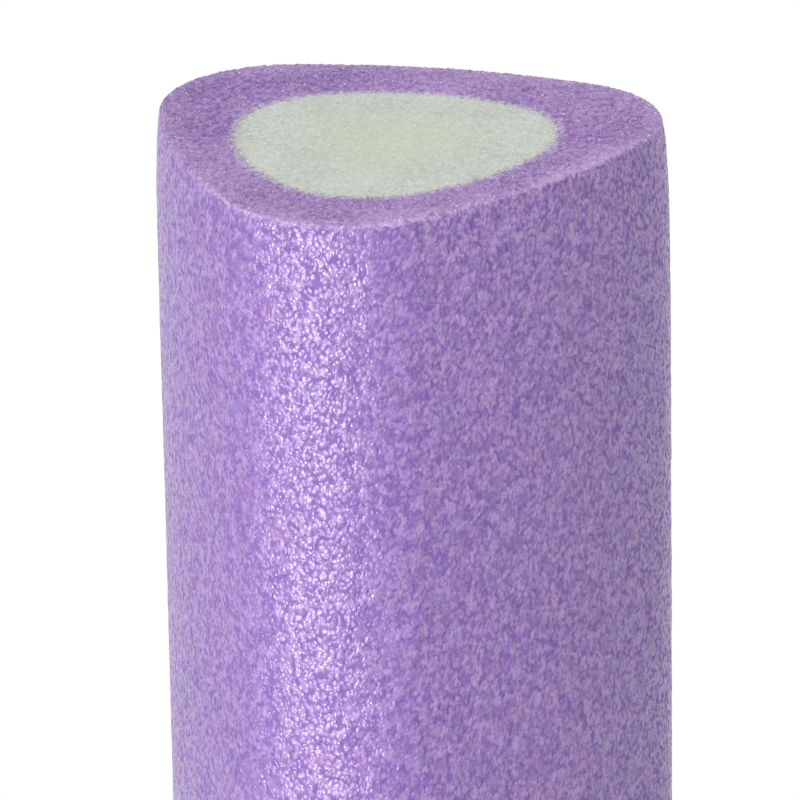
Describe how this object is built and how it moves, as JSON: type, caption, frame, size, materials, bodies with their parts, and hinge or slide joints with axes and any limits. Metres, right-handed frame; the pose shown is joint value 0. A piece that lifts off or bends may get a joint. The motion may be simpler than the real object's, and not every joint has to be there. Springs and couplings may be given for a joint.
{
  "type": "pool noodle",
  "caption": "Long solid foam pool noodle of round-cornered triangular section: a purple jacket on a pale green core, both cut square at the ends.",
  "frame": {"origin": "on the jacket's axis, at the lower cut end", "axes": "+Z along the noodle, from its lower end to the upper end that the picture shows; -Y towards one of the section's three corners; +X to the right of it"},
  "size_m": [0.0892, 0.0859, 1.4],
  "materials": {
    "purple_foam": "satin",
    "pale_green_foam": "matte"
  },
  "bodies": {
    "root": {"outer_jacket": "purple_foam", "inner_core": "pale_green_foam"}
  },
  "joints": []
}
